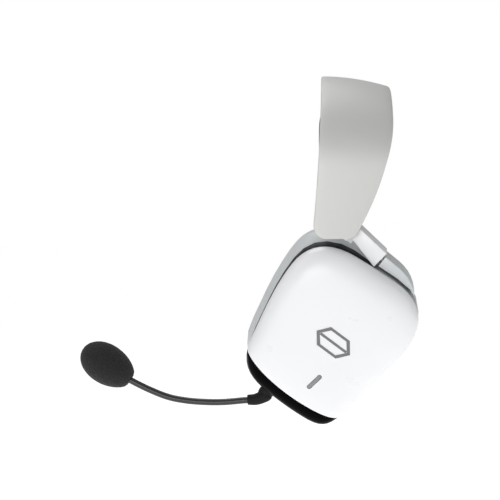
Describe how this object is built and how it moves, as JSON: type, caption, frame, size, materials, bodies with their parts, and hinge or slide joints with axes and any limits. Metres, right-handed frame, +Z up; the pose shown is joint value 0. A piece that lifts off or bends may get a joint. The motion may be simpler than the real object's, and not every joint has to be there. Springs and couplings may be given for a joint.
{
  "type": "gaming headset",
  "caption": "Over-ear gaming headset with a sprung headband, sliding and tilting ear cups, leaning cup caps and a flexible boom microphone with a foam windscreen.",
  "frame": {"origin": "middle of the flat land under the head pad, where the band rests on a head or a stand", "axes": "+Z up, -X towards the wearer's front and the microphone, -Y towards the wearer's left cup"},
  "size_m": [0.1924, 0.169, 0.2003],
  "materials": {
    "pearl": "satin pearl",
    "white": "gloss",
    "silver": "satin",
    "gloss_black": "high gloss",
    "matt_black": "matt",
    "rubber": "matt",
    "steel": "brushed",
    "brass": "polished",
    "leather": "soft grain",
    "fabric": "knitted",
    "foam": "open cell",
    "board": "solder mask",
    "film": "thin film",
    "lens": "frosted",
    "mark": "satin",
    "cell": "foil"
  },
  "bodies": {
    "headband": {"headband_shell": "pearl", "headband_liner": "pearl", "headband_spring": "steel", "headband_pad": "fabric", "headband_screw_left": "steel", "headband_screw_right": "steel"},
    "rail_left": {"slider_rail_left": "steel", "swivel_pin_left": "steel"},
    "arm_left": {"arm_body_left": "silver", "arm_cover_left": "white", "tilt_pin_left": "steel"},
    "cup_left": {"cup_housing_left": "matt_black", "cup_cap_left": "white", "cup_trim_left": "gloss_black", "emblem_left": "mark", "cup_bezel_left": "silver", "driver_frame_left": "matt_black", "driver_magnet_left": "steel", "driver_diaphragm_left": "film", "ear_cushion_left": "leather", "ear_scrim_left": "fabric", "baffle_screw_left_1": "steel", "baffle_screw_left_2": "steel", "baffle_screw_left_3": "steel", "main_board": "board", "control_board": "board", "volume_encoder": "steel", "usb_socket": "steel", "mic_socket": "matt_black", "light_pipe": "lens"},
    "volume_wheel": {"volume_wheel": "rubber"},
    "power_button": {"power_button": "matt_black"},
    "mute_button": {"mute_button": "matt_black"},
    "mic_base": {"mic_plug": "brass", "mic_boot": "rubber"},
    "boom_lower": {"boom_lower": "rubber"},
    "boom_upper": {"boom_upper": "rubber", "mic_capsule": "steel", "mic_foam": "foam"},
    "rail_right": {"slider_rail_right": "steel", "swivel_pin_right": "steel"},
    "arm_right": {"arm_body_right": "silver", "arm_cover_right": "white", "tilt_pin_right": "steel"},
    "cup_right": {"cup_housing_right": "matt_black", "cup_cap_right": "white", "cup_trim_right": "gloss_black", "emblem_right": "mark", "cup_bezel_right": "silver", "driver_frame_right": "matt_black", "driver_magnet_right": "steel", "driver_diaphragm_right": "film", "ear_cushion_right": "leather", "ear_scrim_right": "fabric", "baffle_screw_right_1": "steel", "baffle_screw_right_2": "steel", "baffle_screw_right_3": "steel", "battery": "cell", "charge_board": "board"}
  },
  "joints": [
    {"name": "slider_left", "type": "slide", "parent": "headband", "child": "rail_left", "axis": [0, 0.1418, -0.9899], "range_m": [0, 0.022]},
    {"name": "swivel_left", "type": "hinge", "parent": "rail_left", "child": "arm_left", "pos_m": [-0.013, -0.0726, -0.076], "axis": [0, 0.1418, -0.9899], "range_deg": [-8, 8]},
    {"name": "tilt_left", "type": "hinge", "parent": "arm_left", "child": "cup_left", "pos_m": [0.01486, -0.06539, -0.09486], "axis": [-0.7953, -0.1179, 0.5947], "range_deg": [-3, 12]},
    {"name": "volume_turn", "type": "hinge", "parent": "cup_left", "child": "volume_wheel", "pos_m": [0.00598, -0.04791, -0.15439], "axis": [-0.0506, -0.9646, -0.2588], "continuous": true},
    {"name": "power_press", "type": "slide", "parent": "cup_left", "child": "power_button", "axis": [-0.7953, -0.1179, 0.5947], "range_m": [0, 0.0008], "stiffness_N_per_m": 900},
    {"name": "mute_press", "type": "slide", "parent": "cup_left", "child": "mute_button", "axis": [-0.7953, -0.1179, 0.5947], "range_m": [0, 0.0008], "stiffness_N_per_m": 900},
    {"name": "mic_unplug", "type": "slide", "parent": "cup_left", "child": "mic_base", "axis": [-0.6041, 0.2359, -0.7612], "range_m": [0, 0.02]},
    {"name": "boom_low_bend", "type": "hinge", "parent": "mic_base", "child": "boom_lower", "pos_m": [-0.0646, -0.0411, -0.1735], "axis": [0, 1, 0], "range_deg": [-25, 35]},
    {"name": "boom_high_bend", "type": "hinge", "parent": "boom_lower", "child": "boom_upper", "pos_m": [-0.0982, -0.0389, -0.1739], "axis": [0, 1, 0], "range_deg": [-35, 35]},
    {"name": "slider_right", "type": "slide", "parent": "headband", "child": "rail_right", "axis": [0, -0.1418, -0.9899], "range_m": [0, 0.022]},
    {"name": "swivel_right", "type": "hinge", "parent": "rail_right", "child": "arm_right", "pos_m": [-0.013, 0.0726, -0.076], "axis": [0, 0.1418, 0.9899], "range_deg": [-8, 8]},
    {"name": "tilt_right", "type": "hinge", "parent": "arm_right", "child": "cup_right", "pos_m": [0.01486, 0.06539, -0.09486], "axis": [0.7953, -0.1179, -0.5947], "range_deg": [-3, 12]}
  ]
}
